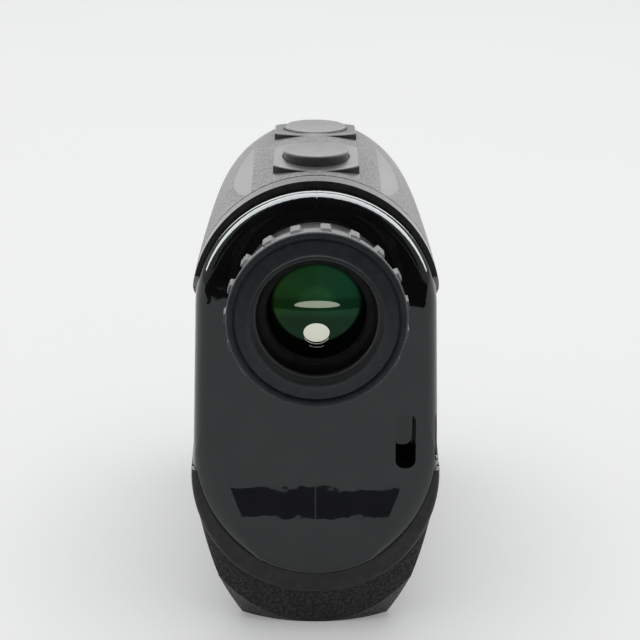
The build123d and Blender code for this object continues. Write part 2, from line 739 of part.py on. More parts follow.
with BuildPart() as board_chips:
    for place, height, side in CHIPS:
        block(
            (MAIN_X + 1.2, MAIN_X + 2.5),
            (place - side / 2, place + side / 2),
            (height - side / 2, height + side / 2),
        )
save(board_chips, "board_chips")

with BuildPart() as display_flex:
    block((-7.0, 7.0), (15.2, 15.5), (42.2, 51.4))
    block((-7.0, 7.0), (15.2, 16.0), (41.9, 42.2))
save(display_flex, "display_flex")

with BuildPart() as switch_board:
    block((-7.5, 7.5), (13.5, 53.0), (67.0, 68.0))
save(switch_board, "switch_board")

with BuildPart() as tact_switches:
    for place in BUTTON_STATIONS.values():
        block((-3.0, 3.0), (place - 3, place + 3), (68.0, 70.0))
        extrude(disc(Plane.XY.offset(69), 0, REAR + place, 1.6), amount=2, mode=Mode.SUBTRACT)
save(tact_switches, "tact_switches")

with BuildPart() as button_frame:
    block((-9.0, 9.0), (8.4, 53.0), (71.2, 72.2))
    for place in BUTTON_STATIONS.values():
        extrude(disc(Plane.XY.offset(71), 0, REAR + place, 1.58), amount=2, mode=Mode.SUBTRACT)
    for side in (-9.0, 7.6):
        for place in (10.5, 32.0, 51.4):
            block((side, side + 1.4), (place - 1.5, place + 1.5), (69.4, 71.2))
save(button_frame, "button_frame")


# ---------------------------------------------------------------- buttons
BUTTON_FLOOR = 73.0


def button(name, station):
    """Domed oval button with a retaining flange, and the plunger that presses its switch."""
    crown = pad_plane(station).origin.Z + BUTTON_RISE[name]
    with BuildPart() as cap:
        extrude(oval(BUTTON_FLOOR, station, 0), amount=crown + 2 - BUTTON_FLOOR)
        with Locations((0, REAR + station, crown - BUTTON_SPHERE)):
            Sphere(BUTTON_SPHERE, mode=Mode.INTERSECT)
        fillet(cap.faces().sort_by(Axis.Z)[-1].edges(), radius=0.45)
        extrude(oval(BUTTON_FLOOR, station, 0.9), amount=1.05)
    save(cap, f"{name}_button")
    with BuildPart() as plunger:
        extrude(disc(Plane.XY.offset(70.0 + BUTTON_TRAVEL + 0.1), 0, REAR + station, 1.5), amount=2.4)
    save(plunger, f"{name}_plunger")


for name, place in BUTTON_STATIONS.items():
    button(name, place)


# ---------------------------------------------------------------- battery
turned("battery_tube", BATTERY_Z, [
    (56.0, 0), (57.2, 0), (57.2, 8.15), (89.5, 8.15), (89.5, 8.9), (56.0, 8.9),
])
turned("battery", BATTERY_Z, [
    (CELL_START, 0),
    (CELL_START, CELL_RADIUS - 0.5),
    (CELL_START + 0.5, CELL_RADIUS),
    (CELL_START + CELL_LENGTH - 0.5, CELL_RADIUS),
    (CELL_START + CELL_LENGTH, CELL_RADIUS - 0.5),
    (CELL_START + CELL_LENGTH, 3.2),
    (CELL_START + CELL_LENGTH + 0.8, 3.0),
    (CELL_START + CELL_LENGTH + 0.8, 0),
])

with BuildPart() as battery_spring:
    block((-2.0, 2.0), (57.2, 57.5), (BATTERY_Z - 5, BATTERY_Z + 5))
    with BuildSketch(Plane.YZ.offset(-2)):
        with BuildLine():
            spring_top = (REAR + 57.4, BATTERY_Z + 4.6)
            spring_low = (REAR + 57.4, BATTERY_Z - 4.6)
            ThreePointArc(spring_top, (REAR + CELL_START, BATTERY_Z), spring_low)
            Line(spring_low, (REAR + 57.4, BATTERY_Z - 4.0))
            ThreePointArc(
                (REAR + 57.4, BATTERY_Z - 4.0), (REAR + CELL_START - 0.3, BATTERY_Z),
                (REAR + 57.4, BATTERY_Z + 4.0),
            )
            Line((REAR + 57.4, BATTERY_Z + 4.0), spring_top)
        make_face()
    extrude(amount=4)
save(battery_spring, "battery_spring")

CAP_RADIUS = 8.82

with BuildPart() as battery_cap:
    extrude(disc(across(91.4), 0, BATTERY_Z, CAP_RADIUS), amount=1.7)
    extrude(disc(across(90.0), 0, BATTERY_Z, 8.05), amount=3.4)
    fillet(battery_cap.faces().sort_by(Axis.Y)[-1].edges(), radius=0.4)
    with BuildSketch(across(90.3)):
        with Locations((0, BATTERY_Z)):
            SlotOverall(12, 1.9)
    extrude(amount=-3, mode=Mode.SUBTRACT)
    with BuildSketch(Plane.YZ):
        with BuildLine():
            seat = [(88.0, 7.3), (89.0, 7.3), (89.0, 9.0), (88.0, 9.0)]
            Polyline(*[(REAR + s, BATTERY_Z + r) for s, r in seat], close=True)
        make_face()
    revolve(axis=Axis((0, 0, BATTERY_Z), (0, 1, 0)), mode=Mode.SUBTRACT)
save(battery_cap, "battery_cap")

turned("cap_seal", BATTERY_Z, tube_outline(88.1, 88.9, 7.3, 8.1))
turned("cap_contact", BATTERY_Z, [(85.8, 0), (86.6, 0), (86.6, 5.0), (86.1, 5.0), (86.1, 3.0), (85.8, 2.8)])
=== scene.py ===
"""Looks of the handheld laser rangefinder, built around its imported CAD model.

Everything is in metres in the CAD frame: +Y forward along the line of sight, +X right, +Z up.
"""

import json
from math import cos, pi, radians, sin, tan

import bpy
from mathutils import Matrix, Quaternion, Vector


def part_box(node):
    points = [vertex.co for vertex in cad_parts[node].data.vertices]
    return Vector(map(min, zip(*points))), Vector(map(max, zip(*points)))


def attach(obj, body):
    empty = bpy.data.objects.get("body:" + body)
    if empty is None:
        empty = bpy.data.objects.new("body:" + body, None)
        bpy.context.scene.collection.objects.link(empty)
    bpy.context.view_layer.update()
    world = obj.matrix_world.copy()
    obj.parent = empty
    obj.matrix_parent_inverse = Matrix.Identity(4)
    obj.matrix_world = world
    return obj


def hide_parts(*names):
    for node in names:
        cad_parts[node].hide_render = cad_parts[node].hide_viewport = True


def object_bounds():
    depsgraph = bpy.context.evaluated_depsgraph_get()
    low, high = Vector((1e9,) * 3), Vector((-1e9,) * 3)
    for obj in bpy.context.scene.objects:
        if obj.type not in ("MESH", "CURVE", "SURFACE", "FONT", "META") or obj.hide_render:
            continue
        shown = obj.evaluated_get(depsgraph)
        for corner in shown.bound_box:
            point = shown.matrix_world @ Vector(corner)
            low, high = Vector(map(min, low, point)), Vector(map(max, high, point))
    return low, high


MM = 0.001

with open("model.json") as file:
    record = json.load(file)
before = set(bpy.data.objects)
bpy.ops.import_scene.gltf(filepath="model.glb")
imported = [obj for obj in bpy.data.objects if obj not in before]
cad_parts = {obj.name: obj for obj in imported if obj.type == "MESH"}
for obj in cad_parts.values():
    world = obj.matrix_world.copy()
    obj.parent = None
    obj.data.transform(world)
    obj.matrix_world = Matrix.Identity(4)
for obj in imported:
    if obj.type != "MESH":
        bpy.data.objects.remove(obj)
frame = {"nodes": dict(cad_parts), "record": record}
nodes = frame["nodes"]
cad_low, cad_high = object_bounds()

REAR_FACE_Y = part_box("left_shell")[0].y
SIGHT_Z = sum(corner.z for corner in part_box("diopter_ring")) / 2


# ---------------------------------------------------------------- camera
CAMERA_AZIMUTH = radians(0.4)
CAMERA_ELEVATION = radians(18.5)
CAMERA_DISTANCE = 0.350
CAMERA_ORBIT = Vector((0, REAR_FACE_Y, 0.038))
CAMERA_LOOKS_AT = Vector((0.0006, REAR_FACE_Y, 0.0543))
CAMERA_ROLL = radians(0.27)
CAMERA_NEAREST = 0.01
# The lens and the sensor are in millimetres, as Blender has them.
CAMERA_LENS = 121.4
CAMERA_SENSOR = 36


def make_camera():
    """Camera behind the eyepiece, slightly above it, as a person would look down on the object."""
    flat = cos(CAMERA_ELEVATION)
    back = Vector((-sin(CAMERA_AZIMUTH) * flat, -cos(CAMERA_AZIMUTH) * flat, sin(CAMERA_ELEVATION)))
    data = bpy.data.cameras.new("camera")
    data.lens = CAMERA_LENS
    data.sensor_width = CAMERA_SENSOR
    data.clip_start = CAMERA_NEAREST
    camera = bpy.data.objects.new("camera", data)
    bpy.context.scene.collection.objects.link(camera)
    camera.location = CAMERA_ORBIT + back * CAMERA_DISTANCE
    camera.rotation_mode = "QUATERNION"
    aim = (CAMERA_LOOKS_AT - camera.location).to_track_quat("-Z", "Y")
    camera.rotation_quaternion = aim @ Quaternion((0, 0, 1), CAMERA_ROLL)
    bpy.context.scene.camera = camera


make_camera()


# ---------------------------------------------------------------- materials
class Graph:
    """A material's node graph, with short calls for the nodes used here."""

    # Ranges that most of a noise's values fall in, for a finish and for a colour.
    FINISH_SPREAD = (0.3, 0.7)
    COLOUR_SPREAD = (0.35, 0.65)
    PEBBLE_SHIFT_SCALE = 0.6
    PEBBLE_SMOOTHNESS = 0.35

    def __init__(self, name):
        self.material = bpy.data.materials.new(name)
        self.material.use_nodes = True
        self.nodes = self.material.node_tree.nodes
        self.links = self.material.node_tree.links
        self.shader = self.nodes["Principled BSDF"]
        self.place = self.nodes.new("ShaderNodeTexCoord").outputs["Object"]
        self.split = None

    def set(self, **values):
        """Sets shader sockets by name, with _ for the spaces."""
        for name, value in values.items():
            self.shader.inputs[name.replace("_", " ")].default_value = value

    def feed(self, socket, name):
        """Links a socket to one of the shader's inputs."""
        self.links.new(socket, self.shader.inputs[name])

    def fill(self, socket, value):
        """Gives an input a number, a colour or the output of another node."""
        if isinstance(value, (int, float)):
            socket.default_value = value
        elif isinstance(value, tuple):
            socket.default_value = (*value, 1)
        else:
            self.links.new(value, socket)

    def axis(self, name):
        """One of the object coordinates, in metres."""
        if self.split is None:
            self.split = self.nodes.new("ShaderNodeSeparateXYZ")
            self.links.new(self.place, self.split.inputs["Vector"])
        return self.split.outputs[name]

    def stretched(self, scale):
        """The object coordinates, scaled along each axis."""
        mapping = self.nodes.new("ShaderNodeMapping")
        mapping.inputs["Scale"].default_value = scale
        self.links.new(self.place, mapping.inputs["Vector"])
        return mapping.outputs["Vector"]

    def noise(self, size, detail=3.0, roughness=0.5, scale=None):
        """Noise whose lumps are about size metres wide, divided by scale along each axis."""
        node = self.nodes.new("ShaderNodeTexNoise")
        node.inputs["Scale"].default_value = 1 / size
        node.inputs["Detail"].default_value = detail
        node.inputs["Roughness"].default_value = roughness
        self.links.new(self.stretched(scale) if scale else self.place, node.inputs["Vector"])
        return node.outputs["Fac"]

    def pebbles(self, size):
        """Distance to the nearest pebble's centre: 0 at a centre, larger in the creases.

        A broad noise shifts the pebbles by up to their size, so that they don't look regular."""
        shift = self.nodes.new("ShaderNodeTexNoise")
        shift.inputs["Scale"].default_value = self.PEBBLE_SHIFT_SCALE / size
        self.links.new(self.place, shift.inputs["Vector"])
        moved = self.nodes.new("ShaderNodeVectorMath")
        moved.operation = "MULTIPLY_ADD"
        self.links.new(shift.outputs["Color"], moved.inputs[0])
        moved.inputs[1].default_value = (size, size, size)
        self.links.new(self.place, moved.inputs[2])
        cells = self.nodes.new("ShaderNodeTexVoronoi")
        cells.feature = "SMOOTH_F1"
        cells.inputs["Smoothness"].default_value = self.PEBBLE_SMOOTHNESS
        cells.inputs["Scale"].default_value = 1 / size
        self.links.new(moved.outputs["Vector"], cells.inputs["Vector"])
        return cells.outputs["Distance"]

    def remap(self, value, low, high, to_low, to_high):
        """Value that goes from to_low to to_high while another goes from low to high."""
        node = self.nodes.new("ShaderNodeMapRange")
        ends = {"From Min": low, "From Max": high, "To Min": to_low, "To Max": to_high}
        for name, number in ends.items():
            node.inputs[name].default_value = number
        self.links.new(value, node.inputs["Value"])
        return node.outputs["Result"]

    def within(self, value, low, high, soft):
        """1 where low < value < high, with soft edges."""
        rises = self.remap(value, low - soft, low + soft, 0, 1)
        falls = self.remap(value, high - soft, high + soft, 1, 0)
        return self.calculate("MULTIPLY", rises, falls)

    def calculate(self, operation, *values):
        """Math node; any input may be a number."""
        node = self.nodes.new("ShaderNodeMath")
        node.operation = operation
        for socket, value in zip(node.inputs, values):
            self.fill(socket, value)
        return node.outputs[0]

    def distance(self, side, rise):
        """Distance of a point from a centre, from its offsets to the side and up."""
        rise_square = self.calculate("MULTIPLY", rise, rise)
        return self.calculate("SQRT", self.calculate("MULTIPLY_ADD", side, side, rise_square))

    def blend(self, data_type, socket_type, factor, first, second):
        """Mix node, whose sockets of one type are the ones in use."""
        node = self.nodes.new("ShaderNodeMix")
        node.data_type = data_type
        self.links.new(factor, node.inputs["Factor"])
        sockets = {socket.name: socket for socket in node.inputs if socket.type == socket_type}
        self.fill(sockets["A"], first)
        self.fill(sockets["B"], second)
        return next(socket for socket in node.outputs if socket.type == socket_type)

    def blend_colours(self, factor, first, second):
        """First colour where the factor is 0, second where it is 1."""
        return self.blend("RGBA", "RGBA", factor, first, second)

    def blend_values(self, factor, first, second):
        """First value where the factor is 0, second where it is 1."""
        return self.blend("FLOAT", "VALUE", factor, first, second)

    def bump(self, height, distance, under=None):
        """Normal of a relief of a given full height, over another normal if there is one."""
        node = self.nodes.new("ShaderNodeBump")
        node.inputs["Distance"].default_value = distance
        node.inputs["Strength"].default_value = 1.0
        self.links.new(height, node.inputs["Height"])
        if under:
            self.links.new(under, node.inputs["Normal"])
        return node.outputs["Normal"]

    def speckle(self, dark, light, size):
        """Base colour that drifts between two near colours."""
        mottle = self.remap(self.noise(size), *self.COLOUR_SPREAD, 0, 1)
        colour = self.blend_colours(mottle, dark, light)
        self.feed(colour, "Base Color")
        return colour

    def roughen(self, noise, low, high):
        """Roughness that follows a noise between two values."""
        self.feed(self.remap(noise, *self.FINISH_SPREAD, low, high), "Roughness")


def scaled(colour, factor):
    return tuple(factor * channel for channel in colour)


# Second colour of a nearly even surface, as a share of its first.
NEAR_SHADE = 0.97
PLASTIC_IOR = 1.5
GLASS_IOR = 1.52
SHEEN_ROUGHNESS = 0.35

# The joint line between the housing's halves is a fine groove down its middle.
SEAM_FLOOR, SEAM_EDGE = 0.02 * MM, 0.09 * MM
SEAM_DEPTH = 0.03 * MM
MOULD_WAVE_HEIGHT = 0.04 * MM


def gloss_shell():
    """Polished black plastic with a faint haze, moulding waves and the joint line."""
    graph = Graph("gloss_shell")
    graph.speckle((0.0045, 0.0045, 0.0052), (0.007, 0.007, 0.0078), 6 * MM)
    graph.set(IOR=PLASTIC_IOR, Specular_Tint=(0.92, 0.99, 1.0, 1))
    graph.roughen(graph.noise(4 * MM, 5), 0.018, 0.035)
    from_middle = graph.calculate("ABSOLUTE", graph.axis("X"))
    seam = graph.bump(graph.remap(from_middle, SEAM_FLOOR, SEAM_EDGE, 0, 1), SEAM_DEPTH)
    waves = graph.noise(5 * MM, 2, 0.4)
    graph.feed(graph.bump(waves, MOULD_WAVE_HEIGHT, seam), "Normal")
    return graph.material


# Places of the rubber's smooth parts: distances forward of the rear face, and from the middle.
ARMOR_GROOVE = 9.95 * MM
PAD_STATIONS = [
    (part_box(name)[0].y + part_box(name)[1].y) / 2 - REAR_FACE_Y
    for name in ("mode_button", "power_button")
]
PAD_HALF_WIDTH = 7.15 * MM
PAD_HALF_LENGTH = 8.9 * MM
PAD_EDGE = 0.05 * MM
FLASH_STATION = 25.5 * MM
FLASH_HALF_LENGTH = 17 * MM
FLASH_INNER_X = 10.6 * MM
FLASH_WIDTH = 3.2 * MM
MASK_EDGE = 0.1 * MM
BOOT_LIP = (3.5 * MM, 3.65 * MM)
PALE_RUBBER = (0.1, 0.1, 0.095)

# The leather grain, by distance from a pebble's centre: where its crest gives way to the crease in
# painted light and shade, in roughness and in height.
CREST_PAINTED_LIGHT_FADE = (0.15, 0.6)
CREST_ROUGHNESS_FADE = (0.1, 0.6)
CREST_HEIGHT_FADE = (0.0, 0.7)
CREASE_SHARE_OF_CONTRAST = 0.7
# Finer lumps on the pebbles, as a share of their size and of their height.
FINE_GRAIN = 0.35
SMOOTH_ROUGHNESS = 0.36
SMOOTH_MIST = 0.06


def station(graph):
    """Distance forward of the flat rear face, as a node value."""
    return graph.calculate("SUBTRACT", graph.axis("Y"), REAR_FACE_Y)


def side_flashes(graph):
    """Mask of the smooth crescents on the armour's sides."""
    side = graph.calculate("ABSOLUTE", graph.axis("X"))
    ahead = graph.calculate("SUBTRACT", station(graph), FLASH_STATION)
    reach = graph.calculate("DIVIDE", ahead, FLASH_HALF_LENGTH)
    bow = graph.calculate("SUBTRACT", 1.0, graph.calculate("MULTIPLY", reach, reach))
    outer = graph.calculate("MULTIPLY_ADD", bow, FLASH_WIDTH, FLASH_INNER_X)
    inside = graph.remap(side, FLASH_INNER_X - MASK_EDGE, FLASH_INNER_X + MASK_EDGE, 0, 1)
    room = graph.calculate("SUBTRACT", outer, side)
    return graph.calculate("MULTIPLY", inside, graph.remap(room, -MASK_EDGE, MASK_EDGE, 0, 1))


def armor_smooth_parts(graph):
    """Mask of the armour's smooth parts: rear strip, button pads and the side flashes."""
    forward = station(graph)
    side = graph.calculate("ABSOLUTE", graph.axis("X"))
    mask = graph.remap(forward, ARMOR_GROOVE - MASK_EDGE, ARMOR_GROOVE + MASK_EDGE, 1, 0)
    across = graph.remap(side, PAD_HALF_WIDTH - PAD_EDGE, PAD_HALF_WIDTH + PAD_EDGE, 1, 0)
    for middle in PAD_STATIONS:
        ends = middle - PAD_HALF_LENGTH, middle + PAD_HALF_LENGTH
        along = graph.within(forward, *ends, PAD_EDGE)
        mask = graph.calculate("MAXIMUM", mask, graph.calculate("MULTIPLY", along, across))
    return graph.calculate("MAXIMUM", mask, side_flashes(graph))


def boot_smooth_parts(graph):
    """Mask of the boot's smooth lip."""
    return graph.remap(station(graph), *BOOT_LIP, 1, 0)


def leather_rubber(name, dark, light, size, depth, roughness, smooth_parts,
                   sheen, shine, contrast, pale_parts=None):
    """Black rubber with a moulded leather grain, apart from its smooth parts.

    The pebbles are about size wide and depth high. Their contrast paints shade into the creases and
    light onto the crests."""
    graph = Graph(name)
    plain = graph.speckle(dark, light, 1.5 * MM)
    smooth = smooth_parts(graph)
    pebbles = graph.pebbles(size)
    # Painted shade darkens the grain's creases and painted light brightens its crests.
    crests = graph.remap(pebbles, *CREST_PAINTED_LIGHT_FADE, 1, 0)
    painted_crease_shade = scaled(dark, 1 - CREASE_SHARE_OF_CONTRAST * contrast)
    grain = graph.blend_colours(crests, painted_crease_shade, scaled(light, 1 + contrast))
    colour = graph.blend_colours(smooth, grain, plain)
    if pale_parts:
        colour = graph.blend_colours(pale_parts(graph), colour, PALE_RUBBER)
    graph.feed(colour, "Base Color")
    graph.set(IOR=PLASTIC_IOR, Specular_IOR_Level=shine)
    graph.set(Sheen_Weight=sheen, Sheen_Roughness=SHEEN_ROUGHNESS)
    grained = graph.remap(pebbles, *CREST_ROUGHNESS_FADE, roughness - 0.08, roughness + 0.1)
    graph.feed(graph.blend_values(smooth, grained, SMOOTH_ROUGHNESS), "Roughness")
    domes = graph.remap(pebbles, *CREST_HEIGHT_FADE, 1, 0)
    lumps = graph.noise(FINE_GRAIN * size, 3, 0.6)
    rough = graph.calculate("MULTIPLY_ADD", lumps, FINE_GRAIN, domes)
    mist = graph.calculate("MULTIPLY", graph.noise(0.3 * MM, 3, 0.6), SMOOTH_MIST)
    graph.feed(graph.bump(graph.blend_values(smooth, rough, mist), depth), "Normal")
    return graph.material


def fine_finish(name, dark, light, mottle, grain, roughness, relief, **sockets):
    """Material whose roughness and relief follow one fine noise.

    mottle is the size of its colour's drift, and grain is what the noise is called with."""
    graph = Graph(name)
    graph.speckle(dark, light, mottle)
    graph.set(**sockets)
    noise = graph.noise(*grain)
    graph.roughen(noise, *roughness)
    graph.feed(graph.bump(noise, relief), "Normal")
    return graph.material


def smooth_rubber(name, dark, light, roughness, sheen=0.0, shine=0.3):
    """Matt rubber with a very fine mist."""
    return fine_finish(
        name, dark, light, mottle=1.2 * MM, grain=(0.25 * MM, 4, 0.6),
        roughness=(roughness - 0.06, roughness + 0.06), relief=0.012 * MM,
        IOR=PLASTIC_IOR, Specular_IOR_Level=shine,
        Sheen_Weight=sheen, Sheen_Roughness=SHEEN_ROUGHNESS)


def moulded_plastic(name, dark, light, roughness):
    """Plastic with the fine sparkle of an etched mould."""
    return fine_finish(
        name, dark, light, mottle=3 * MM, grain=(0.35 * MM, 3, 0.6),
        roughness=(roughness - 0.08, roughness + 0.08), relief=0.01 * MM,
        Specular_IOR_Level=0.25)


def turned_metal(name, dark, light, roughness, metallic=1.0, shine=0.5):
    """Metal with fine turning marks around the line of sight."""
    return fine_finish(
        name, dark, light, mottle=2 * MM, grain=(0.3 * MM, 2, 0.6, (0.2, 3.0, 0.2)),
        roughness=(roughness - 0.08, roughness + 0.08), relief=0.008 * MM,
        Metallic=metallic, Specular_IOR_Level=shine)


def laminate(name, dark, light):
    """Film or solder mask with a faint weave under it."""
    return fine_finish(
        name, dark, light, mottle=0.8 * MM, grain=(0.4 * MM, 1, 0.4),
        roughness=(0.25, 0.4), relief=0.01 * MM)


def clear_glass(name, tint, roughness=0.0):
    graph = Graph(name)
    graph.speckle(tint, scaled(tint, NEAR_SHADE), 10 * MM)
    graph.set(Transmission_Weight=1.0, IOR=GLASS_IOR, Roughness=roughness)
    return graph.material


# Marks of the painted reflection that glows in the eye lens's coating. A rise is a height over the
# line of sight, and a glow of 1 is the plain painted reflection's.
BAND_RISE = (0.1 * MM, 1.9 * MM)
BAND_EDGE = 0.35 * MM
BAND_GLOW = 0.6
BLOB_RISE = 0.9 * MM
BLOB_FADE = (2.2 * MM, 3.4 * MM)
BLOB_EXTRA_GLOW = 0.55
BLOB_CUT_RISE = (0.2 * MM, 0.6 * MM)
LOWER_FADE_RISE = (-1.5 * MM, 0.0)
LOWER_GLOW = 0.35
DISC_RISE = 1.1 * MM
DISC_RADIUS = 7.1 * MM
DISC_EDGE = 0.6 * MM
DISC_FLATTENING = 1.13
GLOW_DRIFT = (0.85, 1.1)
TINT_HALF_WIDTH = 6 * MM
GREEN_LEFT, GREEN_RIGHT = (0.008, 0.029, 0.006), (0.005, 0.029, 0.015)


def painted_lens_reflection():
    """Green coating of the eye lens over its black interior, with a painted reflection of the view
    glowing in it.

    In the painted reflection a darker band crosses its middle, a brighter blob stands on the band,
    and the part under the line of sight is dim."""
    graph = Graph("painted_lens_reflection")
    graph.speckle((0.001, 0.0025, 0.0015), (0.0015, 0.004, 0.002), 3 * MM)
    graph.roughen(graph.noise(4 * MM, 2), 0.015, 0.03)
    graph.set(IOR=GLASS_IOR, Specular_IOR_Level=0.2, Specular_Tint=(0.5, 0.95, 0.6, 1))
    # Painted reflection: this glow stands in for the studio mirrored in the coated lens.
    side = graph.axis("X")
    rise = graph.calculate("SUBTRACT", graph.axis("Z"), SIGHT_Z)
    band = graph.within(rise, *BAND_RISE, BAND_EDGE)
    glow = graph.remap(band, 0, 1, 1.0, BAND_GLOW)
    from_blob = graph.distance(side, graph.calculate("SUBTRACT", rise, BLOB_RISE))
    blob = graph.remap(from_blob, *BLOB_FADE, BLOB_EXTRA_GLOW, 0.0)
    glow = graph.calculate("MULTIPLY_ADD", blob, graph.remap(rise, *BLOB_CUT_RISE, 0, 1), glow)
    glow = graph.calculate("MULTIPLY", glow, graph.remap(rise, *LOWER_FADE_RISE, LOWER_GLOW, 1))
    from_disc = graph.calculate("SUBTRACT", rise, DISC_RISE)
    from_disc = graph.distance(side, graph.calculate("MULTIPLY", from_disc, DISC_FLATTENING))
    disc = graph.remap(from_disc, DISC_RADIUS - DISC_EDGE, DISC_RADIUS, 1.0, 0.0)
    drift = graph.remap(graph.noise(6 * MM, 1), *graph.COLOUR_SPREAD, *GLOW_DRIFT)
    strength = graph.calculate("MULTIPLY", graph.calculate("MULTIPLY", glow, disc), drift)
    across = graph.remap(side, -TINT_HALF_WIDTH, TINT_HALF_WIDTH, 0, 1)
    graph.feed(graph.blend_colours(across, GREEN_LEFT, GREEN_RIGHT), "Emission Color")
    graph.feed(strength, "Emission Strength")
    return graph.material


def glowing(name, colour, strength):
    """Painted light: a glowing finish for the bright image of the view, as the eyepiece throws it
    out.
    """
    graph = Graph(name)
    graph.speckle(colour, scaled(colour, NEAR_SHADE), 2 * MM)
    graph.set(Roughness=0.6, Specular_IOR_Level=0.0)
    graph.set(Emission_Color=(*colour, 1), Emission_Strength=strength)
    return graph.material


MATERIALS = {
    "gloss_shell": gloss_shell(),
    "armor_rubber": leather_rubber(
        "armor_rubber", (0.018, 0.018, 0.0185), (0.025, 0.025, 0.026),
        size=0.7 * MM, depth=0.1 * MM, roughness=0.42, smooth_parts=armor_smooth_parts,
        sheen=0.6, shine=0.14, contrast=1.2, pale_parts=side_flashes),
    "boot_rubber": leather_rubber(
        "boot_rubber", (0.013, 0.0135, 0.0145), (0.021, 0.0215, 0.0225),
        size=0.45 * MM, depth=0.09 * MM, roughness=0.4, smooth_parts=boot_smooth_parts,
        sheen=0.0, shine=0.3, contrast=0.6),
    "button_rubber": smooth_rubber(
        "button_rubber", (0.045, 0.045, 0.046), (0.056, 0.056, 0.058), 0.45,
        sheen=0.55, shine=0.15),
    "eyecup_rubber": smooth_rubber(
        "eyecup_rubber", (0.015, 0.017, 0.019), (0.02, 0.0225, 0.0255), 0.5,
        sheen=0.15, shine=0.2),
    "seal_rubber": smooth_rubber(
        "seal_rubber", (0.012, 0.012, 0.012), (0.018, 0.018, 0.018), 0.4),
    "black_plastic": moulded_plastic(
        "black_plastic", (0.012, 0.012, 0.013), (0.018, 0.018, 0.019), 0.45),
    "chip_plastic": moulded_plastic(
        "chip_plastic", (0.012, 0.012, 0.012), (0.018, 0.018, 0.018), 0.55),
    "black_metal": turned_metal(
        "black_metal", (0.01, 0.01, 0.011), (0.016, 0.016, 0.017), 0.4,
        metallic=0.3, shine=0.2),
    "steel": turned_metal("steel", (0.5, 0.5, 0.5), (0.6, 0.6, 0.61), 0.3),
    "spring_steel": turned_metal("spring_steel", (0.55, 0.55, 0.53), (0.66, 0.66, 0.63), 0.28),
    "diode_can": turned_metal("diode_can", (0.6, 0.48, 0.25), (0.7, 0.56, 0.3), 0.25),
    "optical_glass": clear_glass("optical_glass", (0.95, 1.0, 0.97)),
    "prism_glass": clear_glass("prism_glass", (0.95, 0.98, 1.0)),
    "display_glass": clear_glass("display_glass", (0.75, 0.8, 0.75), 0.05),
    "circuit_board": laminate("circuit_board", (0.01, 0.09, 0.035), (0.015, 0.12, 0.05)),
    "flex_film": laminate("flex_film", (0.33, 0.14, 0.02), (0.38, 0.18, 0.035)),
    "cell_jacket": laminate("cell_jacket", (0.02, 0.07, 0.25), (0.03, 0.09, 0.3)),
}

for part in frame["record"]["subparts"]:
    mesh = nodes[part["node"]].data
    mesh.materials.clear()
    mesh.materials.append(MATERIALS[part["material_slot"]])


# ---------------------------------------------------------------- new pieces
def mesh_piece(name, points, faces, material, body):
    """Smooth-shaded piece of the object, made from points in metres."""
    mesh = bpy.data.meshes.new(name)
    mesh.from_pydata(points, [], faces)
    mesh.materials.append(material)
    for face in mesh.polygons:
        face.use_smooth = True
    piece = bpy.data.objects.new(name, mesh)
    bpy.context.scene.collection.objects.link(piece)
    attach(piece, body)
    return piece


def around_sight(forward, radius, angle):
    """Point at a distance forward of the rear face, turned about the line of sight."""
    return Vector((radius * cos(angle), REAR_FACE_Y + forward, SIGHT_Z + radius * sin(angle)))


def lathe(profile, turns, radius_at):
    """Points and faces of a closed profile of (forward, radius) turned about the line of sight."""
    points = []
    faces = []
    rows = len(profile)
    for turn in range(turns):
        angle = 2 * pi * turn / turns
        here, there = turn * rows, (turn + 1) % turns * rows
        for row, (forward, radius) in enumerate(profile):
            points.append(around_sight(forward, radius_at(forward, radius, angle), angle))
            follow = (row + 1) % rows
            faces.append((here + row, here + follow, there + follow, there + row))
    return points, faces


# The soft eyecup, with distances forward of the rear face. A rib's half widths at its top and
# its foot are shares of the ribs' spacing.
RIB_COUNT = 19
FIRST_RIB = radians(84.6)
RIB_HEIGHT = 0.95 * MM
RIB_HALF_WIDTHS = (0.16, 0.205)
RIB_REAR_END = (-12.75 * MM, -12.45 * MM)
RIB_FRONT_END = (-9.2 * MM, -8.85 * MM)
TURNS_PER_RIB = 24
BAND_RADIUS = 13.45 * MM
BAND_FRONT = -8.45 * MM
BAND_STEP = 0.15 * MM
BAND_ROWS = 28
BEAD_CENTRE = (-13.05 * MM, BAND_RADIUS)
BEAD_SIZE = 0.62 * MM
LIP_CENTRE = (-14.32 * MM, 10.22 * MM)
LIP_SIZE = 0.32 * MM


def smooth_step(value, low, high):
    t = min(max((value - low) / (high - low), 0), 1)
    return t * t * (3 - 2 * t)


def ribbed(forward, radius, angle):
    """Radius of the eyecup's band, raised at the ribs."""
    if radius < BAND_RADIUS - 0.01 * MM:
        return radius
    phase = ((angle - FIRST_RIB) * RIB_COUNT / (2 * pi) + 0.5) % 1 - 0.5
    across_rib = 1 - smooth_step(abs(phase), *RIB_HALF_WIDTHS)
    along_rib = smooth_step(forward, *RIB_REAR_END) * (1 - smooth_step(forward, *RIB_FRONT_END))
    return radius + RIB_HEIGHT * across_rib * along_rib


def arc(centre, size, degrees):
    """Points of an arc of radius size in the eyecup's profile."""
    return [(centre[0] + size * cos(radians(a)), centre[1] + size * sin(radians(a)))
            for a in degrees]


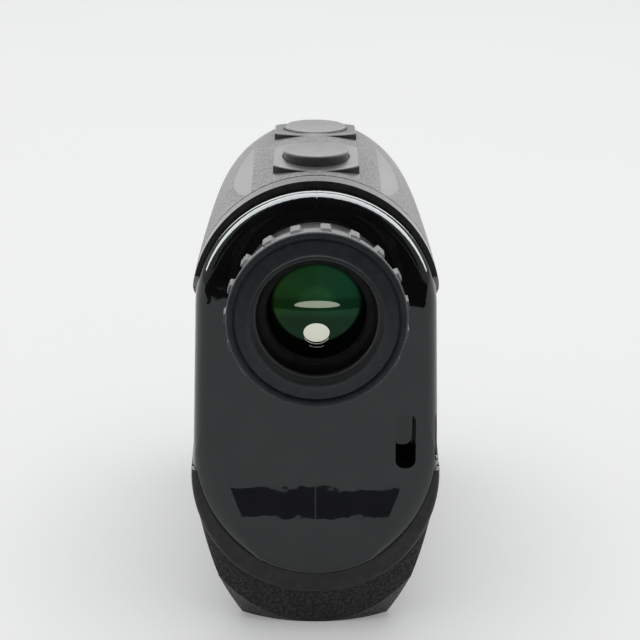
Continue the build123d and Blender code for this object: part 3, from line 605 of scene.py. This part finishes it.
def eyecup():
    """Soft eyecup: grooved band with ribs, round bead, dished face and thin inner lip."""
    band = [(BAND_FRONT - BAND_STEP * row, BAND_RADIUS) for row in range(BAND_ROWS)]
    bead = arc(BEAD_CENTRE, BEAD_SIZE, range(60, 291, 15))
    face = [(-13.62, 12.55), (-13.75, 12.0), (-14.0, 11.2), (-14.25, 10.65)]
    lip = arc(LIP_CENTRE, LIP_SIZE, range(100, 271, 20))
    inside = [(-14.0, 9.78), (-12.8, 9.62), (-11.55, 9.5), (-11.5, 12.62), (-8.45, 12.62)]
    face, inside = ([(forward * MM, radius * MM) for forward, radius in run]
                    for run in (face, inside))
    profile = band + bead + face + lip + inside
    points, faces = lathe(profile, RIB_COUNT * TURNS_PER_RIB, ribbed)
    material = MATERIALS["eyecup_rubber"]
    piece = mesh_piece("soft_eyecup", points, faces, material, "diopter_grip")
    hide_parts("eyecup")


eyecup()

LENS_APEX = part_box("eye_lens")[0].y - REAR_FACE_Y
LENS_EDGE_DROP = 0.9 * MM
LENS_EDGE_RADIUS = 8.1 * MM
COATING_GAP = 0.03 * MM
COATING_RADIUS = 8.05 * MM


def on_eye_lens(x, rise, gap):
    """Point just off the eye lens's polished rear face."""
    radius = (x**2 + rise**2) ** 0.5
    forward = LENS_APEX + LENS_EDGE_DROP * (radius / LENS_EDGE_RADIUS) ** 2 - gap
    return Vector((x, REAR_FACE_Y + forward, SIGHT_Z + rise))


def coating():
    """Film on the eye lens's rear face, which carries its painted reflection."""
    turns, rings = 128, 24
    points = [on_eye_lens(0, 0, COATING_GAP)]
    faces = [(0, 1 + turn, 1 + (turn + 1) % turns) for turn in range(turns)]
    for ring in range(1, rings + 1):
        radius = COATING_RADIUS * ring / rings
        for turn in range(turns):
            angle = 2 * pi * turn / turns
            points.append(on_eye_lens(radius * cos(angle), radius * sin(angle), COATING_GAP))
    for ring in range(rings - 1):
        near, far = 1 + ring * turns, 1 + (ring + 1) * turns
        for turn in range(turns):
            follow = (turn + 1) % turns
            faces.append((near + turn, far + turn, far + follow, near + follow))
    return mesh_piece("painted_lens_reflection", points, faces, painted_lens_reflection(), "ocular")


painted_reflection_face = coating()

# The exit pupil, a small bright image of the view low in the eye lens, is painted as a glowing
# disc. Under it are two faint painted reflections of its lower edge.
PUPIL_DROP = 3.65 * MM
PUPIL_HALF_WIDTH = 2.05 * MM
PUPIL_HALF_HEIGHT = 1.55 * MM
PUPIL_GAP = 0.08 * MM
PUPIL_COLOUR = (0.68, 0.70, 0.60)
EDGE_DROP = PUPIL_DROP + 0.38 * MM
ECHO_DROP = PUPIL_DROP + 0.95 * MM


def pupil_image(name, inner, drop, first, last, strength):
    """The pupil's outline between two angles in degrees, filled in to a share of its size."""
    steps, rings = 64, 6
    first, last = radians(first), radians(last)
    points = []
    faces = []
    for step in range(steps + 1):
        angle = first + (last - first) * step / steps
        for ring in range(rings + 1):
            share = inner + (1 - inner) * ring / rings
            rise = PUPIL_HALF_HEIGHT * share * sin(angle) - drop
            points.append(on_eye_lens(PUPIL_HALF_WIDTH * share * cos(angle), rise, PUPIL_GAP))
    for step in range(steps):
        for ring in range(rings):
            here, there = step * (rings + 1) + ring, (step + 1) * (rings + 1) + ring
            faces.append((here, here + 1, there + 1, there))
    material = glowing(name, PUPIL_COLOUR, strength)
    mesh_piece(name, points, faces, material, "ocular")


pupil_image("exit_pupil", 0.01, PUPIL_DROP, 0, 360, 0.5)
pupil_image("pupil_edge", 0.93, EDGE_DROP, 200, 340, 0.14)
pupil_image("pupil_echo", 0.95, ECHO_DROP, 235, 305, 0.03)


# ---------------------------------------------------------------- stage
FLAG_BLACK = (0.01, 0.01, 0.01)
PANEL_WHITE = (0.8, 0.8, 0.8)
PANEL_SHADE = 0.985
PANEL_MOTTLE = 0.2
BODY_MIDDLE = (cad_low + cad_high) / 2


def stage_panel(name, mesh, colour, brightness=0.0, glow=(1, 1, 1)):
    """Stage panel with a matt finish of its own, which may glow."""
    panel = bpy.data.objects.new(name, mesh)
    bpy.context.scene.collection.objects.link(panel)
    graph = Graph(name)
    graph.speckle(scaled(colour, PANEL_SHADE), colour, PANEL_MOTTLE)
    graph.set(Roughness=0.9, Specular_IOR_Level=0.0)
    graph.set(Emission_Color=(*glow, 1), Emission_Strength=brightness)
    mesh.materials.append(graph.material)
    return panel


def sheet_of(name, corners, colour, brightness=0.0):
    """Flat stage panel through four corners."""
    mesh = bpy.data.meshes.new(name)
    mesh.from_pydata([Vector(c) for c in corners], [], [(0, 1, 2, 3)])
    return stage_panel(name, mesh, colour, brightness)


def only_in_reflections(panel):
    """Leaves a panel in sight of glossy surfaces alone, which it darkens or brightens."""
    panel.visible_camera = False
    panel.visible_diffuse = False
    panel.visible_shadow = False
    panel.visible_transmission = False


FLOOR_HALF = 3.0
FLOOR_COLOUR = (0.86, 0.865, 0.865)
FLOOR_GLOW = 0.17

# Flags for the gloss to reflect: the table past the end of its white sheet, a grey strip on the
# sheet behind the object, and the dark room behind the viewer.
FLAG_Z = 0.0004
SHEET_END_Y = REAR_FACE_Y - 0.208
STRIP_Y = (REAR_FACE_Y - 0.068, REAR_FACE_Y - 0.052)
STRIP_X = (-0.0185, 0.0195)
STRIP_COLOUR = (0.16, 0.16, 0.175)
WALL_HALF_WIDTH = 0.5
WALL_TOP = 0.7
WALL_Y = -0.9


def level(x_ends, y_ends, z):
    """Corners of a level rectangle."""
    return [(x_ends[i], y_ends[j], z) for i, j in ((0, 0), (1, 0), (1, 1), (0, 1))]


FLOOR_X = (-FLOOR_HALF, FLOOR_HALF)
WALL_X = (-WALL_HALF_WIDTH, WALL_HALF_WIDTH)
wall_corners = [(x, WALL_Y, z) for x, z in zip(WALL_X + WALL_X[::-1], (0, 0, WALL_TOP, WALL_TOP))]

sheet_of("floor", level(FLOOR_X, FLOOR_X, 0), FLOOR_COLOUR, FLOOR_GLOW)
for flag in (
    sheet_of("flag_beyond_sheet", level(FLOOR_X, (-FLOOR_HALF, SHEET_END_Y), FLAG_Z), FLAG_BLACK),
    sheet_of("flag_strip", level(STRIP_X, STRIP_Y, FLAG_Z), STRIP_COLOUR),
    sheet_of("flag_wall", wall_corners, FLAG_BLACK),
):
    only_in_reflections(flag)

TENT_RADIUS = 0.9
TENT_HALF_ANGLE = radians(84)
TENT_TAPER = 0.75


def tent_panel(name, low_elevation, high_elevation, colour, brightness=0.0):
    """Curved panel of the light tent over the object, seen only in reflections.

    Its edges lie at two elevations in degrees, measured from the horizon beyond the object,
    over its top."""
    edges = [TENT_RADIUS / tan(radians(angle)) for angle in (low_elevation, high_elevation)]
    middle = sum(edges) / 2
    steps = 48
    points = []
    for step in range(steps + 1):
        lean = TENT_HALF_ANGLE * (2 * step / steps - 1)
        taper = 1 - TENT_TAPER * (lean / TENT_HALF_ANGLE) ** 2
        for edge in edges:
            y = middle + (edge - middle) * taper
            points.append((TENT_RADIUS * sin(lean), y, TENT_RADIUS * cos(lean) + BODY_MIDDLE.z))
    faces = [(2 * i, 2 * i + 2, 2 * i + 3, 2 * i + 1) for i in range(steps)]
    mesh = bpy.data.meshes.new(name)
    mesh.from_pydata(points, [], faces)
    only_in_reflections(stage_panel(name, mesh, colour, brightness))


tent_panel("tent_beyond", 22, 56, PANEL_WHITE, 7.0)
tent_panel("tent_overhead", 60, 90, PANEL_WHITE, 11.0)
tent_panel("flag_overhead", 93, 150, FLAG_BLACK)

# The card behind the eyepiece: how far it is from the lens, and its outline's sizes.
CARD_AWAY = 0.033
CARD_DROP = 0.0072
CARD_CENTRE = Vector((0.0005, REAR_FACE_Y + LENS_APEX - CARD_AWAY, SIGHT_Z - CARD_DROP))
CARD_HALF_WIDTH = 0.0105
CARD_RISE = 0.0026
CARD_SAG = 0.0008
CARD_GLOW = 30.0
CARD_PINK = (1.0, 0.55, 0.7)


def eyepiece_card():
    """Pink card that shows in the eye lens's coating and lights nothing else."""
    turn = [radians(a) for a in range(0, 180, 12)]
    top = [(CARD_HALF_WIDTH * cos(a), CARD_RISE * sin(a)) for a in turn]
    bottom = [(-CARD_HALF_WIDTH * cos(a), -CARD_SAG * sin(a)) for a in turn]
    points = [CARD_CENTRE + Vector((x, 0, z)) for x, z in top + bottom]
    mesh = bpy.data.meshes.new("eyepiece_card")
    mesh.from_pydata(points, [], [tuple(range(len(points)))])
    panel = stage_panel("eyepiece_card", mesh, PANEL_WHITE, CARD_GLOW, CARD_PINK)
    only_in_reflections(panel)
    lit_by_card = bpy.data.collections.new("lit_by_card")
    lit_by_card.objects.link(painted_reflection_face)
    panel.light_linking.receiver_collection = lit_by_card


eyepiece_card()

WORLD_COLOUR = (0.93, 0.94, 0.94, 1)
WORLD_STRENGTH = 0.46
SOFTBOX_CENTRE = Vector((0, 0.1, 1.8))
SOFTBOX_SIZE = 2.4
SOFTBOX_POWER = 20.0


def studio_world():
    """Even light from all round."""
    world = bpy.data.worlds.new("studio")
    world.use_nodes = True
    background = world.node_tree.nodes["Background"]
    background.inputs["Color"].default_value = WORLD_COLOUR
    background.inputs["Strength"].default_value = WORLD_STRENGTH
    bpy.context.scene.world = world


def top_softbox():
    """Wide lamp over the object, which the gloss doesn't reflect."""
    data = bpy.data.lights.new("top_softbox", "AREA")
    data.shape = "RECTANGLE"
    data.size = data.size_y = SOFTBOX_SIZE
    data.energy = SOFTBOX_POWER
    lamp = bpy.data.objects.new("top_softbox", data)
    bpy.context.scene.collection.objects.link(lamp)
    lamp.location = SOFTBOX_CENTRE
    lamp.rotation_mode = "QUATERNION"
    lamp.rotation_quaternion = (BODY_MIDDLE - SOFTBOX_CENTRE).to_track_quat("-Z", "Y")
    lamp.visible_camera = False
    lamp.visible_glossy = False


studio_world()
top_softbox()

bpy.context.scene.view_settings.view_transform = "Standard"
bpy.context.scene.view_settings.look = "None"
